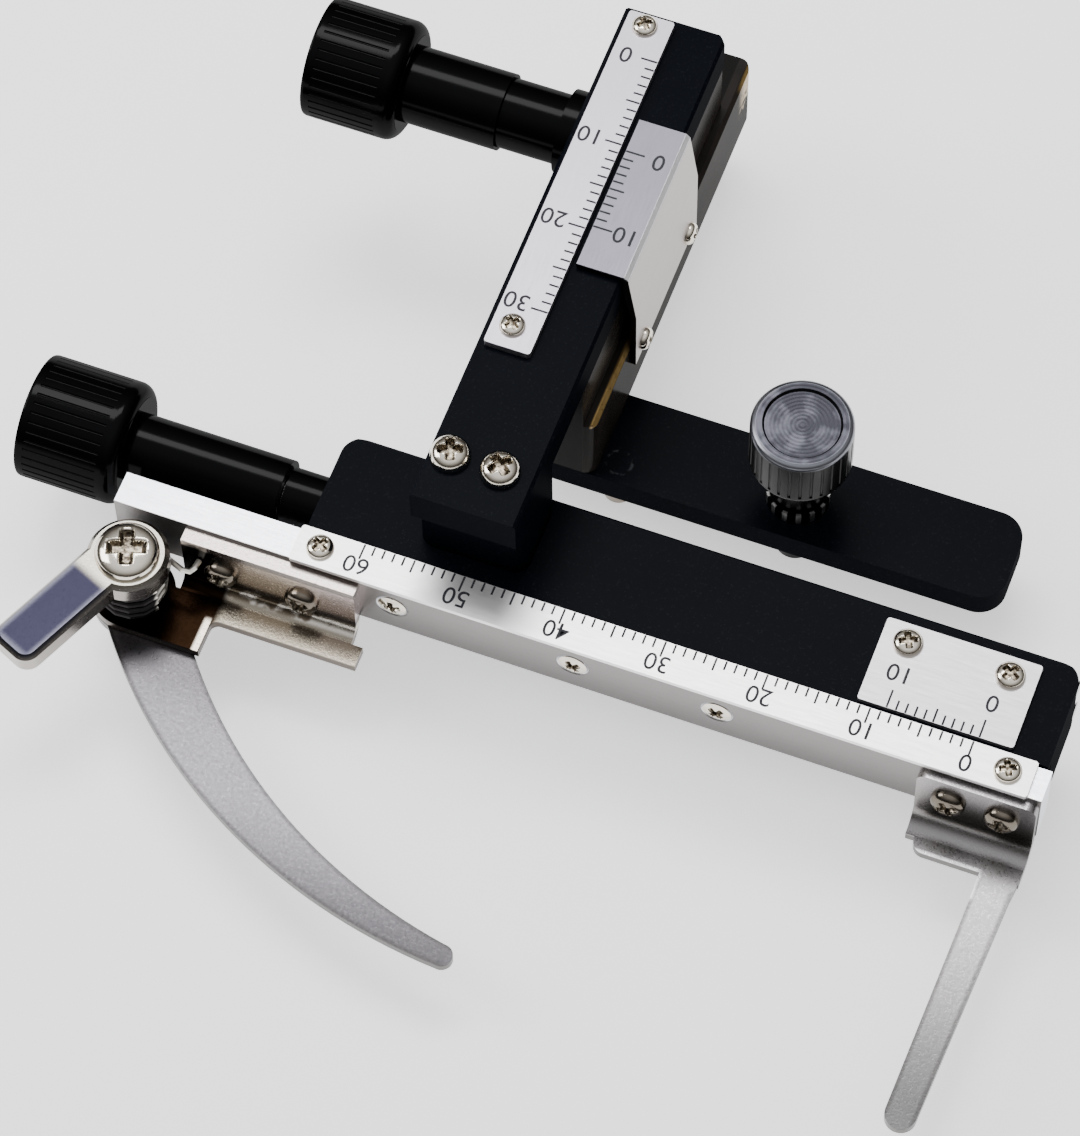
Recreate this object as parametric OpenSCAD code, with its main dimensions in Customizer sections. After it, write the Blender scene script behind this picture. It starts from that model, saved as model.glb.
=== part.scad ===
// Attachable mechanical stage for a laboratory microscope, in millimetres.
// Origin: axis of the clamping thumbscrew, on the underside of the mount bar, which is the
// plane of the microscope's own stage. +X to the right, +Y away from the user, +Z up.

/* [Mount] */
// Thickness of the mount plate
plate_t = 3; // [2.8:0.1:3.2]
// Width of the mount bar, front to back
bar_w = 9.7; // [9:0.1:11]
// Right end of the mount bar, from the thumbscrew
bar_right = 21.7; // [16:0.1:30]
// Corner radius at the bar's free end
bar_corner_r = 2.75; // [1:0.05:4]
// Radius of the thumbscrew's shank below the bar
shank_r = 2; // [1.5:0.1:2.2]
// Length of the thumbscrew's shank below the bar
shank_len = 6; // [4:0.5:10]
// Radius of the thumbscrew's head
thumb_r = 4.95; // [4.5:0.05:6]
// Height of the thumbscrew's head
thumb_h = 6.4; // [5:0.1:8]
// Number of grooves round the thumbscrew's head
thumb_grooves = 30; // [20:1:36]

/* [Y guide and rail] */
// Back end of the fixed guide
guide_back = 40.4; // [38:0.1:44]
// Back end of the sliding rail
rail_back = 34.9; // [34:0.1:38]
// Top of the rail
rail_top = 22.7; // [22.7:0.1:23]
// Thickness of the rail's top wall
rail_t = 1.5; // [1.3:0.1:1.6]
// Module of the rack and pinion
gear_module = 0.5; // [0.5:0.1:0.5]
// Teeth of the pinion
pinion_teeth = 12; // [12:1:12]
// Place of the pinion's axis along Y
pinion_y = 23.1; // [18:0.1:26]

/* [X housing and slider] */
// Left end of the X housing
house_left = -41.2; // [-44:0.1:-40]
// Right end of the X housing's body, without its end cap
house_right = 30.5; // [29:0.1:34]
// Thickness of the end cap
cap_t = 1.5; // [1.2:0.1:2.5]
// Corner radius at the housing's back
house_corner_r = 2.2; // [1:0.1:3]
// Left end of the slider bar
slider_left = -59.4; // [-62:0.1:-56]
// Right end of the slider bar
slider_right = 32.5; // [31.5:0.1:36]
// Radius of the lead screw
screw_r = 2.1; // [2:0.1:2.2]

/* [Knobs] */
// Radius of the X knob
x_knob_r = 6.1; // [5:0.1:6.1]
// Length of the X knob
x_knob_len = 11; // [9:0.1:14]
// Radius of the Y knob
y_knob_r = 6; // [5:0.1:7]
// Length of the Y knob
y_knob_len = 10.2; // [8:0.2:14]
// Number of grooves round a knob
knob_grooves = 40; // [30:1:48]

/* [Slide holder] */
// Thickness of the fingers' sheet metal
sheet_t = 1; // [0.8:0.05:1]
// Front end of the fixed finger
finger_front = -57.9; // [-62:0.1:-50]
// Outer radius of the curved finger
curve_outer_r = 58.1; // [57.8:0.1:58.4]
// Inner radius of the curved finger
curve_inner_r = 55; // [54.8:0.1:55.2]
// Turns of the return spring
spring_turns = 3.75; // [3.75:1:3.75]
// Wire radius of the return spring
wire_r = 0.3; // [0.25:0.01:0.3]

/* [Hidden] */
$fn = 64;

// Clearances: round pieces of one body, running shafts, and sliding faces
seat = 0.03;
run = 0.05;
slip = 0.12;
eps = 0.01;

// Mount bar and arm
bar_front = -4.6;
arm_left = -30.7;
arm_right = -20.1;
arm_back = guide_back + 0.5;
pin_at = [-17.4, -2.4];
pin_r = 1.5;
pin_len = 2.5;
pin_seat = 2.2;
pin_root_r = 2;
neck_r = 2.6;
collar_r = 2.3;
thumb_z = 10.4;

// Fixed Y guide
guide_left = -30.5;
guide_right = -19.1;
guide_side = -20.2;
core_back = 34.3;
guide_core_right = -21.6;
shoulder_z = 11.6;
skirt_z = 18.7;
rack_x = -26.3;
pinion_r = gear_module * pinion_teeth / 2;
pinion_z = 16.9;
pitch_z = pinion_z + pinion_r;
rack_top = rail_top - rail_t;
rack_tip = pitch_z - 0.35;
rack_root = pitch_z + 1.25 * gear_module;
guide_top = rack_top - 0.2;
pinion_half = 2;
journal_r = 1.5;
guide_screw_y = [6, 34];

// Sliding rail
rail_left = -30.4;
rail_right = -20;
skirt_in = -21.4;
house_front = -22.9;
house_back = -11.9;
foot_back = house_back - 0.2;
foot_front = -20.8;
rail_screw_at = [[-28.3, -17.8], [-23.4, -17.8]];
rack_screw_y = [4, 26];
y_plate = [[-29.7, -5.6], [-25.1, 34.2]];
y_plate_t = 0.8;
y_plate_screws = [[-27.7, -3.2], [-27.7, 32.8]];

// Silver block of the Y vernier
vern_front = 5.3;
vern_back = 22.55;
vern_bottom = 8.6;
vern_right = -18.5;
vern_screw_y = [7.5, 20.2];
vern_screw_z = 10.2;

// X housing
house_top = 9.9;
house_bottom = 1.8;
screw_y = -18.4;
screw_z = 6.2;
chamber_left = house_left + 2.8;
chamber = [[-21.85, 3], [-14.6, 8.8]];
slot_z = 6.8;
slot_front = 1.5;
slot_back = 2;
bush_r = 2.85;
bush_left = house_left - 3.8;
x_vern = [[13.28, -22.41], [28.42, -13.35]];
x_vern_screws = [[15.9, -15.4], [25.85, -15.4]];
mark_plate_t = 0.5;
cap_screw_at = [[-13.2, 3.7], [-13.2, 8.1]];

// X slider
slider_front = -26.5;
slider_back = -23.2;
slider_bottom = 2.4;
x_plate = [[-41.5, -26.8], [31.1, -22.95]];
x_plate_screws = [[-39.05, -24.8], [28.66, -24.8]];
tongue_left = -41;
tongue_right = 4;
tongue_screw_x = [-31.3, -13.2, 1.1];
nut_left = -37.9;
nut_right = -29.9;

// Slide holder
flange_front = slider_front - sheet_t;
pad_t = 0.5;
left_front = flange_front - pad_t;
flange_top = 9.4;
finger_z = 0.2;
shelf_z = finger_z + sheet_t + 0.1;
left_bend_r = 1.4;
right_bend_r = 2;
flange_screw_z = 6.2;
right_flange = [20.9, 32.4];
right_screw_x = [24.1, 29.25];
left_flange = [-52, -34.5];
left_screw_x = [-48.1, -39.9];
left_screw_z = 5.4;
shelf_right = -33.3;
shelf_front = -31.5;
ear_right = -47.8;
ear_front = -35.15;
pivot = [-56.1, -31.1];
lobe_r = 4.05;
sleeve_r = 2.7;
spindle_r = 2;
lever_z = 7.3;
lever_t = 2.2;
lever_angle = -113.5;
lever_len = 14.8;
lever_half = 2.5;
lever_shift = -0.8;
coil_r = 3.15;
coil_z0 = 2.65;
coil_z1 = 6.7;
leg_angle = 69.3;

// Knobs
x_sleeve_right = bush_left - 0.3;
x_knob_left = -71.7;
y_sleeve_right = -32.3;
y_knob_left = -58.3;
x_sleeve_r = 3.4;
y_sleeve_r = 3.85;
y_slim_r = 3.5;

// ---------------------------------------------------------------- shared shapes

// Flat rectangle from lo to hi with all four corners rounded
module round_rect(lo, hi, r) {
    translate([lo[0] + r, lo[1]]) square([hi[0] - lo[0] - 2 * r, hi[1] - lo[1]]);
    translate([lo[0], lo[1] + r]) square([hi[0] - lo[0], hi[1] - lo[1] - 2 * r]);
    for (x = [lo[0] + r, hi[0] - r], y = [lo[1] + r, hi[1] - r])
        translate([x, y]) circle(r = r);
}

// Box between two corners
module box(lo, hi) {
    translate(lo) cube(hi - lo);
}

// Profile drawn in X and Z, extruded along Y from y0 to y1
module along_y(y0, y1) {
    translate([0, y1, 0]) rotate([90, 0, 0]) linear_extrude(y1 - y0) children();
}

// Profile drawn in Y and Z, extruded along X from x0 to x1
module along_x(x0, x1) {
    translate([x0, 0, 0]) rotate([90, 0, 90]) linear_extrude(x1 - x0) children();
}

// Cylinder along X from x0 to x1 on the axis (y, z)
module rod_x(x0, x1, y, z, r) {
    translate([x0, y, z]) rotate([0, 90, 0]) cylinder(r = r, h = x1 - x0);
}

// Solid of revolution about Z with a rounded lower and upper edge
module turned(r, h, low_r, high_r) {
    rotate_extrude() {
        translate([0, low_r]) square([r, h - low_r - high_r]);
        square([r - low_r, h]);
        square([r - high_r, h]);
        translate([r - low_r, low_r]) intersection() {
            circle(r = low_r);
            translate([0, -low_r]) square(low_r);
        }
        translate([r - high_r, h - high_r]) intersection() {
            circle(r = high_r);
            square(high_r);
        }
    }
}

// Straight grooves round a cylinder of radius r about Z, from z0 to z1
module grooves(r, z0, z1, count) {
    groove_r = 0.3 * PI * r / count;
    for (i = [0 : count - 1])
        rotate(i * 360 / count) translate([r + 0.25 * groove_r, 0, z0])
            cylinder(r = groove_r, h = z1 - z0, $fn = 24);
}

// Ribbed knob about Z: outer end at 0, inner end at len, with a shallow dome outside
module knob_head(r, len) {
    edge = 1.1;
    dome_r = 24;
    difference() {
        intersection() {
            turned(r, len, edge, 1.4);
            translate([0, 0, dome_r]) sphere(r = dome_r, $fn = 96);
        }
        grooves(r, edge + 0.5, len - 1.9, knob_grooves);
    }
}

// Pan-head screw along Z: head standing on z = 0, shank below
module pan_screw(head_r, head_h, shank, depth) {
    turned(head_r, head_h, 0.05, min(head_h - 0.1, 0.45 * head_r));
    translate([0, 0, -depth]) cylinder(r = shank, h = depth + eps);
}

// Countersunk screw along Z: flat top at z = 0, shank below
module flat_screw(head_r, shank, depth) {
    translate([0, 0, shank - head_r]) cylinder(r1 = shank, r2 = head_r, h = head_r - shank);
    translate([0, 0, -depth]) cylinder(r = shank, h = depth - head_r + shank + eps);
}

// Hole for either screw, a little wider
module screw_hole(shank, depth) {
    translate([0, 0, -depth]) cylinder(r = shank + seat, h = depth + 1);
}

// Countersink with its hole, a little wider
module flat_hole(head_r, shank, depth) {
    gap = 0.05;
    translate([0, 0, shank - head_r - gap])
        cylinder(r1 = shank, r2 = head_r + 2 * gap, h = head_r - shank + 2 * gap);
    screw_hole(shank, depth);
}

// Turns a shape about Z to point out of the slider's front, at (x, y, z)
module front_at(x, y, z) {
    translate([x, y, z]) rotate([90, 0, 0]) children();
}

// ---------------------------------------------------------------- fixed parts

module mount_bracket() {
    color([0.09, 0.09, 0.1]) difference() {
        linear_extrude(plate_t) {
            round_rect([arm_left, bar_front], [arm_right, arm_back], 1.5);
            round_rect([arm_left, bar_front], [bar_right, bar_front + bar_w], bar_corner_r);
            square_corner = 4;
            translate([arm_left, bar_front + 1.5]) square([square_corner, square_corner]);
        }
        translate([0, 0, -1]) cylinder(r = collar_r + 0.1, h = plate_t + 2);
        translate([pin_at[0], pin_at[1], -1]) cylinder(r = pin_root_r + seat, h = pin_seat + 1.05);
        for (y = guide_screw_y)
            translate([rack_x, y, 0]) rotate([180, 0, 0]) flat_hole(2, 1.2, plate_t + 1);
    }
}

module locating_pin() {
    tip = 0.3;
    color([0.75, 0.74, 0.7]) translate([pin_at[0], pin_at[1], 0]) {
        cylinder(r = pin_root_r, h = pin_seat);
        translate([0, 0, tip - pin_len]) cylinder(r = pin_r, h = pin_len - tip);
        translate([0, 0, -pin_len]) cylinder(r1 = pin_r - tip, r2 = pin_r, h = tip);
    }
}

module thumbscrew() {
    dish_r = thumb_r - 1.1;
    tip = 0.4;
    color([0.72, 0.75, 0.8]) {
        difference() {
            translate([0, 0, thumb_z]) difference() {
                turned(thumb_r, thumb_h, 0.5, 0.6);
                grooves(thumb_r, 0.7, thumb_h - 0.8, thumb_grooves);
            }
            translate([0, 0, thumb_z + thumb_h - 0.25]) cylinder(r1 = dish_r - 0.25, r2 = dish_r, h = 0.3);
        }
        translate([0, 0, plate_t + 0.1]) cylinder(r = neck_r, h = thumb_z - plate_t);
        translate([0, 0, plate_t + 0.1]) cylinder(r = neck_r + 0.5, h = 1.5);
        cylinder(r = collar_r, h = plate_t + 1);
        translate([0, 0, tip - shank_len]) cylinder(r = shank_r, h = shank_len - tip + eps);
        translate([0, 0, -shank_len]) cylinder(r1 = shank_r - tip, r2 = shank_r, h = tip);
    }
}

// Half width of the rack's dovetail at height z
function dove(z) = 2.2 + (rack_top - z) * 0.47;

module dovetail_profile(z0, z1, gap) {
    polygon([
        [rack_x - dove(z0) - gap, z0], [rack_x + dove(z0) + gap, z0],
        [rack_x + dove(z1) + gap, z1], [rack_x - dove(z1) - gap, z1]
    ]);
}

module guide_block() {
    channel_z = rack_tip - 0.25;
    color([0.1, 0.1, 0.1]) difference() {
        intersection() {
            along_y(bar_front, guide_back) polygon([
                [guide_left, plate_t], [guide_right, plate_t],
                [guide_right, shoulder_z - 0.4], [guide_right - 0.4, shoulder_z],
                [guide_side, shoulder_z], [guide_side, skirt_z - 0.2],
                [guide_core_right, skirt_z - 0.2], [guide_core_right, guide_top],
                [guide_left, guide_top]
            ]);
            linear_extrude(40) round_rect([guide_left, bar_front], [guide_right, guide_back], 1.2);
        }
        box([guide_left - 1, core_back, shoulder_z], [guide_right + 1, guide_back + 1, guide_top + 1]);
        along_y(bar_front - 1, guide_back + 1) dovetail_profile(channel_z, guide_top + 1, slip);
        rod_x(rack_x - pinion_half - 0.2, rack_x + pinion_half + 0.2, pinion_y, pinion_z, 3.8);
        rod_x(guide_left - 1, rack_x, pinion_y, pinion_z, 2.3 + seat);
        rod_x(rack_x, rack_x + pinion_half + 1.8, pinion_y, pinion_z, journal_r + run);
        for (y = guide_screw_y) translate([rack_x, y, plate_t]) cylinder(r = 1.2 + seat, h = 6.1);
        for (y = vern_screw_y) rod_x(guide_right - 3.3, guide_right + 1, y, vern_screw_z, 0.8 + seat);
    }
}

module guide_screws() {
    color([0.7, 0.7, 0.7]) for (y = guide_screw_y)
        translate([rack_x, y, 0]) rotate([180, 0, 0]) flat_screw(2, 1.2, plate_t + 6);
}

module pinion_bush() {
    color([0.12, 0.12, 0.12]) difference() {
        union() {
            rod_x(guide_left - 1.7, guide_left, pinion_y, pinion_z, 4.2);
            rod_x(guide_left - eps, rack_x - pinion_half - 0.1, pinion_y, pinion_z, 2.3);
        }
        rod_x(guide_left - 2, rack_x, pinion_y, pinion_z, journal_r + run);
    }
}

module y_vernier_block() {
    top = rail_top + y_plate_t;
    color([0.8, 0.8, 0.82]) difference() {
        along_y(vern_front, vern_back) polygon([
            [-24.5, rail_top + 0.15], [-24.5, top], [-19.75, top], [-19.35, top - 0.4],
            [vern_right, 16.9], [vern_right, vern_bottom], [guide_right, vern_bottom],
            [guide_right, 17], [-19.85, 21], [-19.85, rail_top + 0.15]
        ]);
        for (y = vern_screw_y) rod_x(guide_right - 1, vern_right + 1, y, vern_screw_z, 0.8 + seat);
    }
}

module y_vernier_screws() {
    color([0.75, 0.73, 0.68]) for (y = vern_screw_y)
        translate([vern_right, y, vern_screw_z]) rotate([0, 90, 0]) pan_screw(1.3, 1, 0.8, 3.7);
}

// ---------------------------------------------------------------- Y drive

module y_pinion_shaft() {
    color([0.7, 0.7, 0.72])
        rod_x(y_knob_left + 2, rack_x + pinion_half + 1.7, pinion_y, pinion_z, journal_r);
}

// Involute of the pressure angle 20 degrees, in degrees
function inv(a) = tan(a) * 180 / PI - a;

// Half angle of a pinion tooth at radius r, with a little backlash
function tooth_half(r, base_r) =
    90 / pinion_teeth + inv(20) - inv(acos(min(1, base_r / r))) - 0.8;

module y_pinion() {
    base_r = pinion_r * cos(20);
    root_r = pinion_r - 1.25 * gear_module;
    tip_r = pinion_r + gear_module;
    steps = 4;
    flank = [for (i = [0 : steps]) base_r + (tip_r - base_r) * i / steps];
    radii = concat([root_r], flank);
    color([0.8, 0.65, 0.35]) difference() {
        translate([rack_x - pinion_half, pinion_y, pinion_z]) rotate([90, 0, 90])
            linear_extrude(2 * pinion_half) polygon([
                for (t = [0 : pinion_teeth - 1])
                    for (k = [0 : 2 * steps + 3])
                        let (low = steps + 1,
                            r = radii[k <= low ? k : 2 * low + 1 - k],
                            half = tooth_half(max(r, base_r), base_r),
                            a = 90 + t * 360 / pinion_teeth + (k <= low ? -half : half))
                        [r * cos(a), r * sin(a)]
            ]);
        rod_x(rack_x - 3, rack_x + 3, pinion_y, pinion_z, journal_r + seat);
    }
}

module y_knob() {
    shoulder = y_knob_left + y_knob_len;
    step = -38.3;
    color([0.06, 0.06, 0.06]) difference() {
        union() {
            translate([y_knob_left, pinion_y, pinion_z]) rotate([0, 90, 0])
                knob_head(y_knob_r, y_knob_len);
            rod_x(shoulder - 0.5, step, pinion_y, pinion_z, y_sleeve_r);
            rod_x(step - eps, y_sleeve_right, pinion_y, pinion_z, y_slim_r);
        }
        rod_x(y_knob_left + 2 - seat, y_sleeve_right + 1, pinion_y, pinion_z, journal_r + seat);
    }
}

// ---------------------------------------------------------------- Y carriage

module y_rail() {
    cham = 0.3;
    color([0.1, 0.1, 0.11]) difference() {
        union() {
            along_y(foot_back - eps, rail_back) polygon([
                [rail_left, rack_top], [rail_left, rail_top - cham], [rail_left + cham, rail_top],
                [rail_right - cham, rail_top], [rail_right, rail_top - cham],
                [rail_right, skirt_z], [skirt_in, skirt_z], [skirt_in, rack_top]
            ]);
            along_y(house_front, foot_back) polygon([
                [rail_left, skirt_z], [rail_left, rail_top - cham], [rail_left + cham, rail_top],
                [rail_right - cham, rail_top], [rail_right, rail_top - cham], [rail_right, skirt_z]
            ]);
            translate([0, 0, house_top]) linear_extrude(skirt_z - house_top + eps)
                round_rect([rail_left - 0.4, foot_front], [rail_right, foot_back], 1.6);
        }
        for (p = rail_screw_at) translate([p[0], p[1], rail_top]) screw_hole(1.4, 20);
        for (y = rack_screw_y) translate([rack_x, y, rail_top]) flat_hole(1, 0.6, 3);
        for (p = y_plate_screws) translate([p[0], p[1], rail_top]) screw_hole(0.5, 1.2);
        translate([rail_right, rail_back, 0]) rotate([0, 0, 45])
            box([-0.5, -0.75, 0], [0.5 + 4, 4, 40]);
    }
}

module y_rack() {
    pitch = PI * gear_module;
    front = foot_back + 0.6;
    back = rail_back - 0.6;
    half = pitch / 4 - 0.04;
    tip_half = half - (pitch_z - rack_tip) * tan(20);
    root_half = half + (rack_root - pitch_z) * tan(20);
    first = ceil((front + root_half - pinion_y) / pitch - 0.5);
    last = floor((back - root_half - pinion_y) / pitch - 0.5);
    teeth = [for (k = [first : last]) let (y = pinion_y + (k + 0.5) * pitch)
        each [[y - root_half, rack_root], [y - tip_half, rack_tip],
            [y + tip_half, rack_tip], [y + root_half, rack_root]]];
    color([0.66, 0.62, 0.5]) difference() {
        intersection() {
            along_y(front, back) dovetail_profile(rack_tip - 1, rack_top, 0);
            along_x(rack_x - 5, rack_x + 5) polygon(concat(
                [[back, rack_top], [front, rack_top], [front, rack_root]], teeth, [[back, rack_root]]));
        }
        for (y = rack_screw_y) translate([rack_x, y, rail_top]) screw_hole(0.6, 3);
    }
}

module rack_screws() {
    color([0.7, 0.7, 0.7]) for (y = rack_screw_y)
        translate([rack_x, y, rail_top]) flat_screw(1, 0.6, rail_top - rack_root);
}

module y_scale_plate() {
    color([0.82, 0.82, 0.84]) translate([0, 0, rail_top]) difference() {
        linear_extrude(y_plate_t) round_rect(y_plate[0], y_plate[1], 0.3);
        for (p = y_plate_screws) translate([p[0], p[1], 0]) screw_hole(0.5, 1);
    }
}

module y_scale_screws() {
    color([0.8, 0.8, 0.78]) for (p = y_plate_screws)
        translate([p[0], p[1], rail_top + y_plate_t]) pan_screw(1.25, 0.75, 0.5, y_plate_t + 1);
}

module rail_screws() {
    color([0.8, 0.8, 0.78]) for (p = rail_screw_at)
        translate([p[0], p[1], rail_top]) pan_screw(1.95, 1.5, 1.4, rail_top - 9.1);
}

// Plan outline of the housing with its end cap
module house_outline() {
    cap_right = house_right + cap_t;
    union() {
        round_rect([house_left, house_front + 2], [cap_right, house_back], house_corner_r);
        translate([house_left, house_front]) square([cap_right - house_left, 5]);
    }
}

// Cross-section of the housing in Y and Z, with the slot for the slider's tongue
module house_section() {
    cham = 0.35;
    difference() {
        polygon([
            [house_front, house_bottom], [house_back - cham, house_bottom],
            [house_back, house_bottom + cham], [house_back, house_top - cham],
            [house_back - cham, house_top], [house_front, house_top]
        ]);
        polygon([
            [house_front - 1, slot_z - slot_front], [house_front, slot_z - slot_front],
            [chamber[0][0] + eps, slot_z - slot_back], [chamber[0][0] + eps, slot_z + slot_back],
            [house_front, slot_z + slot_front], [house_front - 1, slot_z + slot_front]
        ]);
    }
}

module x_housing() {
    color([0.1, 0.1, 0.11]) difference() {
        intersection() {
            linear_extrude(20) house_outline();
            along_x(house_left - 1, house_right) house_section();
        }
        box([chamber_left, chamber[0][0], chamber[0][1]],
            [house_right + 1, chamber[1][0], chamber[1][1]]);
        rod_x(house_left - 1, chamber_left + 1, screw_y, screw_z, bush_r + seat);
        for (p = rail_screw_at) translate([p[0], p[1], house_top]) screw_hole(1.4, 0.9);
        for (p = x_vern_screws) translate([p[0], p[1], house_top]) screw_hole(0.5, 0.9);
        for (p = cap_screw_at) rod_x(house_right - 4, house_right + 1, p[0], p[1], 0.5 + seat);
    }
}

module x_end_cap() {
    right = house_right + cap_t;
    color([0.1, 0.1, 0.11]) difference() {
        intersection() {
            linear_extrude(20) house_outline();
            along_x(house_right, right + 1) house_section();
        }
        rod_x(house_right - 1, house_right + 1, screw_y, screw_z, 1 + run);
        for (p = cap_screw_at) translate([right, p[0], p[1]]) rotate([0, 90, 0]) flat_hole(0.9, 0.5, 3);
    }
}

module x_end_cap_screws() {
    color([0.7, 0.7, 0.7]) for (p = cap_screw_at)
        translate([house_right + cap_t, p[0], p[1]]) rotate([0, 90, 0]) flat_screw(0.9, 0.5, 5);
}

module x_vernier_plate() {
    color([0.82, 0.82, 0.84]) translate([0, 0, house_top]) difference() {
        linear_extrude(mark_plate_t) round_rect(x_vern[0], x_vern[1], 0.3);
        for (p = x_vern_screws) translate([p[0], p[1], 0]) screw_hole(0.5, 1);
    }
}

module x_vernier_screws() {
    color([0.8, 0.8, 0.78]) for (p = x_vern_screws)
        translate([p[0], p[1], house_top + mark_plate_t]) pan_screw(1.45, 0.9, 0.5, mark_plate_t + 0.8);
}

module x_bush() {
    color([0.75, 0.62, 0.35]) difference() {
        rod_x(bush_left, chamber_left, screw_y, screw_z, bush_r);
        rod_x(bush_left - 1, chamber_left + 1, screw_y, screw_z, screw_r + run);
    }
}

// ---------------------------------------------------------------- X drive

module x_lead_screw() {
    tail_r = 1.6;
    color([0.7, 0.7, 0.72]) {
        rod_x(x_knob_left + 2, x_sleeve_right + 0.1, screw_y, screw_z, tail_r);
        rod_x(x_sleeve_right + 0.1 - eps, house_right - 0.2, screw_y, screw_z, screw_r);
        rod_x(house_right - 0.3, house_right + 0.9, screw_y, screw_z, 1);
    }
}

module x_knob() {
    shoulder = x_knob_left + x_knob_len;
    color([0.06, 0.06, 0.06]) difference() {
        union() {
            translate([x_knob_left, screw_y, screw_z]) rotate([0, 90, 0])
                knob_head(x_knob_r, x_knob_len);
            rod_x(shoulder - 0.5, x_sleeve_right, screw_y, screw_z, x_sleeve_r);
        }
        rod_x(x_knob_left + 2 - seat, x_sleeve_right + 1, screw_y, screw_z, 1.6 + seat);
    }
}

// ---------------------------------------------------------------- X slider

module slider_bar() {
    edge = 0.5;
    color([0.62, 0.62, 0.64]) difference() {
        along_x(slider_left, slider_right) polygon([
            [slider_front + edge, slider_bottom], [slider_back, slider_bottom],
            [slider_back, house_top], [slider_front, house_top],
            [slider_front, slider_bottom + edge]
        ]);
        for (x = tongue_screw_x) front_at(x, slider_front, slot_z) flat_hole(1.6, 0.8, 5);
        for (x = right_screw_x) front_at(x, slider_front, flange_screw_z) screw_hole(0.8, 2.6);
        for (x = left_screw_x) front_at(x, slider_front, left_screw_z) screw_hole(0.8, 2.6);
        for (p = x_plate_screws) translate([p[0], p[1], house_top]) screw_hole(0.5, 2.1);
    }
}

module x_scale_plate() {
    color([0.82, 0.82, 0.84]) translate([0, 0, house_top]) difference() {
        linear_extrude(mark_plate_t) round_rect(x_plate[0], x_plate[1], 0.3);
        for (p = x_plate_screws) translate([p[0], p[1], 0]) screw_hole(0.5, 1);
    }
}

module x_scale_screws() {
    color([0.8, 0.8, 0.78]) for (p = x_plate_screws)
        translate([p[0], p[1], house_top + mark_plate_t]) pan_screw(1.35, 0.8, 0.5, mark_plate_t + 2);
}

module slide_tongue() {
    back = chamber[0][0] - 0.1;
    rise = (slot_back - slot_front) / (chamber[0][0] - house_front);
    gap = 0.1;
    half_front = slot_front - gap;
    half_back = slot_front + rise * (back - house_front) - gap;
    color([0.75, 0.62, 0.35]) difference() {
        along_x(tongue_left, tongue_right) polygon([
            [slider_back, slot_z - half_front], [house_front, slot_z - half_front],
            [back, slot_z - half_back], [back, slot_z + half_back],
            [house_front, slot_z + half_front], [slider_back, slot_z + half_front]
        ]);
        for (x = tongue_screw_x) front_at(x, slider_front, slot_z) screw_hole(0.8, 6);
    }
}

module tongue_screws() {
    color([0.7, 0.69, 0.66]) for (x = tongue_screw_x)
        front_at(x, slider_front, slot_z) flat_screw(1.6, 0.8, 4.4);
}

module drive_nut() {
    front = chamber[0][0] + 0.12;
    color([0.78, 0.64, 0.36]) difference() {
        union() {
            box([nut_left, front, chamber[0][1] + 0.3], [nut_right, chamber[1][0] - 0.3, chamber[1][1] - 0.15]);
            box([nut_left, chamber[0][0] - 0.1, slot_z - 1.7], [nut_right, front + eps, slot_z + 1.7]);
        }
        rod_x(nut_left - 1, nut_right + 1, screw_y, screw_z, screw_r + run);
    }
}

// Bent sheet in Y and Z: an upright flange, thicker by pad, whose foot turns forward with its underside at z0
module bent_flange(x0, x1, z0, top, toe_y, bend_r, pad) {
    outer = bend_r + sheet_t;
    mid = slider_front - pad - outer;
    along_x(x0, x1) {
        translate([flange_front - pad, z0 + outer]) square([sheet_t + pad, top - z0 - outer]);
        translate([toe_y, z0]) square([mid - toe_y, sheet_t]);
        intersection() {
            translate([mid, z0 + outer]) difference() {
                circle(r = outer);
                circle(r = bend_r);
            }
            translate([mid, z0]) square([outer, outer]);
        }
    }
}

module right_finger() {
    bend_front = flange_front - right_bend_r;
    sole_front = -31;
    sole_left = right_flange[0] + 0.9;
    tip_r = 1.5;
    corner = 1.2;
    tip_y = finger_front + tip_r;
    color([0.72, 0.7, 0.66]) difference() {
        union() {
            intersection() {
                bent_flange(right_flange[0], right_flange[1], finger_z, flange_top,
                    bend_front - 0.1, right_bend_r, 0);
                along_y(-60, 0) union() {
                    round_rect([right_flange[0], finger_z + 2], [right_flange[1], flange_top], 1);
                    translate([right_flange[0], 0]) square([right_flange[1] - right_flange[0], 7]);
                }
            }
            translate([0, 0, finger_z]) linear_extrude(sheet_t) difference() {
                union() {
                    translate([sole_left + corner, sole_front])
                        square([right_flange[1] - sole_left - corner, bend_front - sole_front]);
                    translate([sole_left, sole_front + corner])
                        square([corner + eps, bend_front - sole_front - corner]);
                    translate([sole_left + corner, sole_front + corner]) circle(r = corner);
                    polygon([[28.6, sole_front + eps], [32.3, sole_front + eps], [32.1, -32.7],
                        [31, tip_y], [28, tip_y], [28.6, -34]]);
                    translate([29.5, tip_y]) circle(r = tip_r);
                }
                translate([right_flange[0] - 5, bend_front]) square(20);
            }
        }
        for (x = right_screw_x) front_at(x, flange_front, flange_screw_z) screw_hole(0.8, 2);
    }
}

module right_finger_screws() {
    color([0.78, 0.76, 0.7]) for (x = right_screw_x)
        front_at(x, flange_front, flange_screw_z) pan_screw(1.7, 1.1, 0.8, 3.4);
}

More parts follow.
